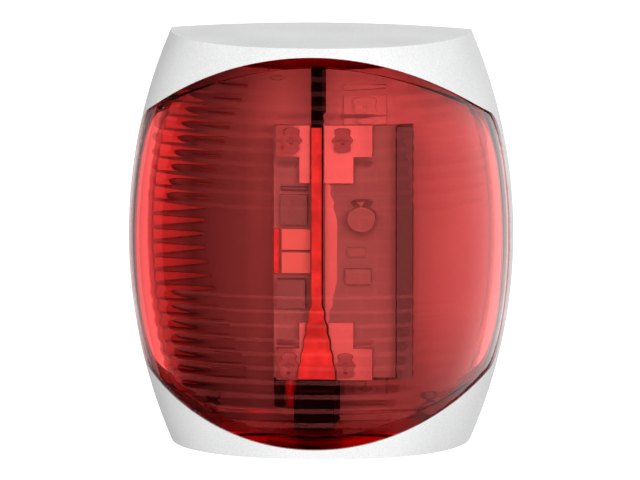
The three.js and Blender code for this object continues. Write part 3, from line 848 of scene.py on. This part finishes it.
@dataclass
class Lens:
    """Red moulding: a tub behind the housing, and a ribbed window that fills the opening."""

    barrel: Barrel
    opening: Opening
    rim: float
    tub_out: float = 2.5 * MM
    wall: float = 1.8 * MM
    recess: float = 0.35 * MM
    window: float = 2.9 * MM
    fit: float = 0.12 * MM
    step: float = 2.2 * MM
    pitch: float = 2.6 * MM
    tooth_depth: float = 0.11 * MM
    plain: float = 7.5 * MM
    steps: int = 6
    fade_start: float = 0.7
    fade_end: float = 0.95
    divisions: int = 36

    def tooth(self, z: float, across: float) -> float:
        """Measures how far a rib stands in from the window's inner face.

        Args:
            z: the height.
            across: how far round towards the side, from 0 ahead to 1 at the side.

        Returns:
            The rib's depth there.
        """
        above = abs(z) - self.plain
        if above < 0:
            return 0.0
        fade = (self.fade_end - across) / (self.fade_end - self.fade_start)
        fade = min(1.0, max(0.0, fade))
        return self.tooth_depth * fade * (1 - math.cos(math.tau * above / self.pitch)) / 2

    def rib_heights(self) -> list[float]:
        """Divides each rib into steps, and the plain band into four.

        Returns:
            The heights of the divisions.
        """
        heights = [self.plain / 2]
        above = self.plain
        while above < self.barrel.half_height - self.window:
            heights += [above + self.pitch * i / self.steps for i in range(self.steps)]
            above += self.pitch
        return sorted([-height for height in heights] + [0.0] + heights)

    def build(self) -> bpy.types.Object:
        """Models the moulding and dresses it.

        Returns:
            The moulding.
        """
        rings = self.barrel.rings(self.divisions)
        tub = self.barrel.solid("lens_moulding", self.tub_out, rings, back=self.rim)
        window = self.barrel.solid("window", self.recess, rings, back=self.rim)
        combine(window, self.opening.cutter(self.fit), Cut.KEEP)
        combine(tub, window, Cut.JOIN)
        inside = self.barrel.solid("inside", self.tub_out + self.wall, rings, back=PAST_BACK)
        combine(tub, inside, Cut.REMOVE)
        inset = self.recess + self.window
        ribbed = self.barrel.solid("ribbed", inset, self.rib_heights(), PAST_BACK, self.tooth)
        combine(ribbed, self.opening.cutter(self.fit + self.step), Cut.KEEP)
        combine(tub, ribbed, Cut.REMOVE)
        smooth(tub, RIB_SMOOTH_ANGLE)
        dress(tub, LENS_RED)
        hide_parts("lens")
        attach(tub, Body.LANTERN.value)
        return tub


@dataclass
class SidePrisms:
    """Red prisms in a row up the lens tub's left side wall, each tapering towards the middle.

    They stand just ahead of the back cover, whose front face is at y = cover.
    """

    barrel: Barrel
    cover: float
    wall_inset: float = 4.5 * MM
    pitch: float = 2.6 * MM
    count: int = 21
    depth: float = 2.2 * MM
    tip_depth: float = 0.3 * MM
    gap: float = 0.3 * MM
    root_height: float = 1.9 * MM
    tip_height: float = 0.5 * MM
    reach: float = 15 * MM
    middle_reach: float = 9 * MM
    edge: float = 0.06 * MM

    def prism(self, z: float) -> bpy.types.Object:
        """Models one prism.

        Args:
            z: its height.

        Returns:
            The prism.
        """
        root = self.barrel.half(z, self.wall_inset)
        share = abs(z) / self.barrel.half_height
        reach = self.middle_reach + (self.reach - self.middle_reach) * share
        rear = self.cover - self.gap
        low = (-root, rear - self.depth, z - self.root_height / 2)
        high = (reach - root, rear, z + self.root_height / 2)
        prism = add_box(low, high, "prism")
        for vertex in prism.data.vertices:
            if vertex.co.x > -root + reach / 2:
                vertex.co.z = z + math.copysign(self.tip_height / 2, vertex.co.z - z)
                vertex.co.y = max(vertex.co.y, rear - self.tip_depth)
        return prism

    def build(self) -> bpy.types.Object:
        """Models the row as one piece and dresses it.

        Returns:
            The prisms.
        """
        heights = [self.pitch * (i - (self.count - 1) / 2) for i in range(self.count)]
        prisms = [self.prism(z) for z in heights]
        select_only(prisms[0])
        for prism in prisms[1:]:
            prism.select_set(True)
        bpy.ops.object.join()
        row = settle(bpy.context.object, "side_prisms")
        soften(row, self.edge, segments=1)
        # The row takes painted light and shade that matches the cover's.
        dress(row, PRISM_RED_PAINTED_LIGHT)
        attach(row, Body.LANTERN.value)
        return row


@dataclass
class ScreenFlange:
    """Pale moulded flange along the cut-off screen's foot, tapering at both ends."""

    board_low: Vector
    left: float = 1.2 * MM
    width: float = 2.3 * MM
    tip_width: float = 0.5 * MM
    top: float = 12 * MM
    bottom: float = -15.5 * MM
    thickness: float = 0.45 * MM
    shoulder: float = 0.3
    gap: float = 0.02 * MM
    edge: float = 0.15 * MM

    def build(self) -> bpy.types.Object:
        """Models the flange and dresses it.

        Returns:
            The flange.
        """
        rear = self.board_low.y - self.gap
        low = (self.left, rear - self.thickness, self.bottom)
        high = (self.left + self.width, rear, self.top)
        flange = add_box(low, high, "screen_flange")
        bpy.ops.object.mode_set(mode="EDIT")
        for share in (self.shoulder, 1 - self.shoulder):
            height = self.bottom + (self.top - self.bottom) * share
            bpy.ops.mesh.select_all(action="SELECT")
            bpy.ops.mesh.bisect(plane_co=(0, 0, height), plane_no=(0, 0, 1))
        bpy.ops.object.mode_set(mode="OBJECT")
        for vertex in flange.data.vertices:
            to_end = min(self.top - vertex.co.z, vertex.co.z - self.bottom)
            if to_end < self.edge and vertex.co.x > self.left + self.width / 2:
                vertex.co.x = self.left + self.tip_width
        soften(flange, self.edge)
        # The flange takes the clamps' painted shade, darker towards the bottom.
        dress(flange, CLAMP_PAINTED_SHADE)
        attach(flange, Body.LANTERN.value)
        return flange


@dataclass
class VentMembrane:
    """Thin breathing membrane that closes the vent's bore, held by a raised rim."""

    plug_low: Vector
    plug_high: Vector
    radius: float = 0.72 * MM
    thickness: float = 0.3 * MM
    rim: float = 0.12 * MM

    def build(self) -> bpy.types.Object:
        """Models the membrane and dresses it.

        Returns:
            The membrane.
        """
        middle = (self.plug_low + self.plug_high) / 2
        half = Vector((0, self.thickness / 2, 0))
        disc, ring, bore = (
            add_rod(radius, middle - half * reach, middle + half * reach, name, MEMBRANE_SIDES)
            for name, radius, reach in (
                ("vent_membrane", self.radius, 1),
                ("rim", self.radius, 2),
                ("bore", self.radius - self.rim, 3),
            )
        )
        combine(ring, bore, Cut.REMOVE)
        combine(disc, ring, Cut.JOIN)
        smooth(disc)
        # The membrane takes the back cover's painted shade.
        dress(disc, COVER_PAINTED_SHADE)
        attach(disc, Body.LANTERN.value)
        return disc


def numbered(stem: str, count: int) -> tuple[str, ...]:
    """Names the members of a numbered set.

    Args:
        stem: what they share.
        count: how many there are.

    Returns:
        Their names, counted from 1.
    """
    return tuple(f"{stem}_{i}" for i in range(1, count + 1))


@dataclass
class CarriedNodes:
    """The frame's own nodes that keep their shape, each group with its finish."""

    groups: dict[str, tuple[Finish, tuple[str, ...]]] = field(
        default_factory=lambda: {
            "plate": (WHITE, ("mounting_plate",)),
            # The back cover, vent, bracket and their screws carry the cover's painted light and
            # shade.
            "back": (COVER_PAINTED_SHADE, ("back_cover", "vent_plug", *numbered("back_screw", 4))),
            "bracket": (COVER_PAINTED_SHADE, ("led_bracket", *numbered("bracket_screw", 2))),
            # The clamps carry painted shade, darker at both ends and towards the bottom.
            "clamps": (CLAMP_PAINTED_SHADE, ("board_clamp_top", "board_clamp_bottom")),
            "clamp_screws": (GREY_INNER, numbered("clamp_screw", 4)),
            "reflectors": (REFLECTOR, ("reflector_strip", "led_side_strip")),
            "screens": (BLACK, ("cutoff_screen",)),
            "shade": (SHADE, ("aft_screen",)),
            "chips": (DARK_CHIP, ("driver_chip", "inductor")),
            "board": (BOARD, ("led_board", "capacitor", "protection_diode", "sense_resistor")),
            "leds": (PHOSPHOR, ("led_emitter_upper", "led_emitter_lower")),
            "rubber": (RUBBER, ("cable_gland", "plate_gasket", "lead_negative")),
            "seal": (MILKY_RUBBER, ("back_seal",)),
            "sleeve": (RED_SLEEVE, ("lead_positive",)),
            "steel": (STEEL, ("lock_screw", "lock_washer")),
            "brass": (BRASS, ("lock_insert",)),
        }
    )

    def build(self, nodes: dict[str, bpy.types.Object]) -> None:
        """Dresses every carried node.

        Args:
            nodes: the frame's nodes by name.
        """
        for title, (finish, names) in self.groups.items():
            for name in names:
                dress(nodes[name], finish)
            LOG.info("dressed %s: %d nodes", title, len(names))


# ---- Studio ----


@dataclass(frozen=True)
class Panel:
    """A soft panel light: its direction in degrees, its distance and size in metres, its watts."""

    name: str
    azimuth: float
    elevation: float
    distance: float
    width: float
    height: float
    power: float


@dataclass
class Studio:
    """Pale floor, soft panels, a ring of cards, a dark flag and the camera.

    Azimuths are in degrees, 0 ahead of the lens, rising to the right. The ring's marks are its
    brightness at rising azimuths.
    """

    barrel: Barrel
    azimuth: float = 3.1
    elevation: float = 8.4
    distance: float = 3.6
    field_width: float = 116.45 * MM
    aim_right: float = -0.24 * MM
    aim_up: float = -1.46 * MM
    sensor: float = 36.0
    clip: tuple[float, float] = (0.1, 100)
    floor_drop: float = 0.35
    floor_size: float = 60
    floor_shade: float = 0.9
    floor_glow: float = 0.48
    floor_roughness: float = 0.9
    surround_strength: float = 0.88
    panels: tuple[Panel, ...] = (
        Panel("key", 6, 16, 0.9, 0.6, 0.5, 8.2),
        Panel("top", -10, 75, 0.8, 0.8, 0.8, 0.8),
    )
    ring_radius: float = 0.5
    ring_height: float = 0.68
    ring_marks: Marks = (
        (-180, 1.4),
        (-165, 1.0),
        (-150, 0.4),
        (-131.5, 0.35),
        (-131, 0.0),
        (-127.5, 0.0),
        (-127, 0.05),
        (30, 0.04),
        (56, 0.15),
        (84, 0.9),
        (110, 2.0),
        (140, 1.6),
        (180, 1.9),
    )
    flag_radius: float = 0.45
    flag_azimuths: tuple[float, float] = (-100, 45)
    flag_heights: tuple[float, float] = (-0.2, 0.06)

    def direction(self, azimuth: float, elevation: float) -> Vector:
        """Finds the unit vector towards a direction.

        Args:
            azimuth: its azimuth.
            elevation: its elevation in degrees.

        Returns:
            The vector.
        """
        a, e = math.radians(azimuth), math.radians(elevation)
        return Vector((math.sin(a) * math.cos(e), -math.cos(a) * math.cos(e), math.sin(e)))

    def centre(self) -> Vector:
        """Finds the point that the camera and the panels face.

        Returns:
            The middle of the form's widest plane.
        """
        return Vector((0, -self.barrel.ridge, 0))

    def camera(self) -> None:
        """Adds the camera, a long lens from slightly above and to the right."""
        back = self.direction(self.azimuth, self.elevation)
        turn = (-back).to_track_quat("-Z", "Y")
        right, up = turn @ Vector((1, 0, 0)), turn @ Vector((0, 1, 0))
        data = bpy.data.cameras.new("camera")
        data.sensor_width = self.sensor
        data.lens = self.sensor * self.distance / self.field_width
        data.clip_start, data.clip_end = self.clip
        camera = bpy.data.objects.new("camera", data)
        aim = right * self.aim_right + up * self.aim_up
        camera.location = self.centre() + back * self.distance + aim
        camera.rotation_mode = "QUATERNION"
        camera.rotation_quaternion = turn
        bpy.context.scene.collection.objects.link(camera)
        bpy.context.scene.camera = camera

    def dull(self, target: bpy.types.Object, shade: float) -> bpy.types.ShaderNode:
        """Gives a studio object a material without gloss.

        Args:
            target: the object.
            shade: the material's grey.

        Returns:
            The material's main shader.
        """
        made = bpy.data.materials.new(target.name)
        made.use_nodes = True
        shader = made.node_tree.nodes["Principled BSDF"]
        shader.inputs["Base Color"].default_value = (shade, shade, shade, 1)
        shader.inputs["Specular IOR Level"].default_value = 0.0
        target.data.materials.append(made)
        return shader

    def floor(self) -> None:
        """Adds the floor, a pale plane well below the light."""
        place = (0, 0, -self.floor_drop)
        bpy.ops.mesh.primitive_plane_add(size=self.floor_size, location=place)
        floor = settle(bpy.context.object, "floor")
        shader = self.dull(floor, self.floor_shade)
        shader.inputs["Roughness"].default_value = self.floor_roughness
        shader.inputs["Emission Color"].default_value = (1, 1, 1, 1)
        shader.inputs["Emission Strength"].default_value = self.floor_glow
        floor.visible_diffuse = False

    def panel(self, panel: Panel) -> None:
        """Adds a soft panel light that faces the lantern and isn't seen itself.

        Args:
            panel: what it is like.
        """
        data = bpy.data.lights.new(panel.name, "AREA")
        data.shape = "RECTANGLE"
        data.size, data.size_y = panel.width, panel.height
        data.energy = panel.power
        light = bpy.data.objects.new(panel.name, data)
        towards = self.direction(panel.azimuth, panel.elevation)
        light.location = self.centre() + towards * panel.distance
        light.rotation_mode = "QUATERNION"
        light.rotation_quaternion = (-towards).to_track_quat("-Z", "Y")
        light.visible_camera = False
        light.visible_glossy = False
        light.visible_transmission = False
        bpy.context.scene.collection.objects.link(light)

    def tube(self, name: str, radius: float, low: float, high: float) -> bpy.types.Object:
        """Adds an open upright tube round the lantern that throws no light or shadow itself.

        Args:
            name: its name.
            radius: its radius.
            low: the height of its lower edge.
            high: the height of its upper edge.

        Returns:
            The tube.
        """
        bpy.ops.mesh.primitive_cylinder_add(
            vertices=RING_SIDES,
            radius=radius,
            depth=high - low,
            location=(0, 0, (low + high) / 2),
            end_fill_type="NOTHING",
        )
        tube = settle(bpy.context.object, name)
        tube.visible_camera = False
        tube.visible_diffuse = False
        tube.visible_shadow = False
        return tube

    def ring(self) -> None:
        """Adds a ring of cards round the lantern that only reflections see."""
        half = self.ring_height / 2
        ring = self.tube("card_ring", self.ring_radius, -half, half)
        shader = self.dull(ring, 0.0)
        tree = ring.data.materials[0].node_tree
        peak = max(strength for _, strength in self.ring_marks)
        shader.inputs["Emission Strength"].default_value = peak
        place = tree.nodes.new("ShaderNodeTexCoord")
        turn = tree.nodes.new("ShaderNodeMapping")
        turn.inputs["Rotation"].default_value = (0, 0, math.pi / 2)
        sweep = tree.nodes.new("ShaderNodeTexGradient")
        sweep.gradient_type = "RADIAL"
        tree.links.new(place.outputs["Object"], turn.inputs["Vector"])
        tree.links.new(turn.outputs["Vector"], sweep.inputs["Vector"])
        marks = tuple(((at + 180) / 360, strength / peak) for at, strength in self.ring_marks)
        glow = add_profile(tree, sweep.outputs["Fac"], marks)
        tree.links.new(glow, shader.inputs["Emission Color"])
        ring.visible_transmission = False

    def flag(self) -> None:
        """Adds a black curved flag that keeps stray light off the lens, unseen by the camera."""
        start, stop = self.flag_azimuths
        flag = self.tube("flag", self.flag_radius, *self.flag_heights)
        bpy.ops.object.mode_set(mode="EDIT")
        bpy.ops.mesh.select_mode(type="FACE")
        bpy.ops.mesh.select_all(action="DESELECT")
        bpy.ops.object.mode_set(mode="OBJECT")
        for face in flag.data.polygons:
            azimuth = math.degrees(math.atan2(face.center.x, -face.center.y))
            face.select = not start <= azimuth <= stop
        bpy.ops.object.mode_set(mode="EDIT")
        bpy.ops.mesh.delete(type="FACE")
        bpy.ops.object.mode_set(mode="OBJECT")
        self.dull(flag, 0.0)

    def surroundings(self) -> None:
        """Fills the scene with even white light."""
        world = bpy.data.worlds.new("surroundings")
        world.use_nodes = True
        sky = world.node_tree.nodes["Background"]
        sky.inputs["Color"].default_value = (1, 1, 1, 1)
        sky.inputs["Strength"].default_value = self.surround_strength
        bpy.context.scene.world = world

    def build(self) -> None:
        """Sets the studio up."""
        bpy.context.scene.view_settings.view_transform = "Standard"
        bpy.context.scene.view_settings.look = "None"
        self.camera()
        self.floor()
        self.surroundings()
        for panel in self.panels:
            self.panel(panel)
        self.flag()
        self.ring()


def main() -> None:
    """Loads the frame, builds each sub-assembly, dresses the frame's nodes and builds the studio.
    """
    logging.basicConfig(level=logging.INFO, format="%(name)s: %(message)s")
    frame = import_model()
    _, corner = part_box("housing")
    barrel = Barrel(half_width=corner.x, half_height=corner.z)
    opening = Opening(barrel)
    for piece in (
        Housing(barrel, opening),
        Lens(barrel, opening, rim=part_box("back_seal")[0].y - SEAL_GAP),
        SidePrisms(barrel, cover=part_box("back_cover")[0].y),
        ScreenFlange(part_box("led_board")[0]),
        VentMembrane(*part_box("vent_plug")),
    ):
        LOG.info("built %s", piece.build().name)
    CarriedNodes().build(frame["nodes"])
    Studio(barrel).build()


if __name__ == "__main__":
    main()
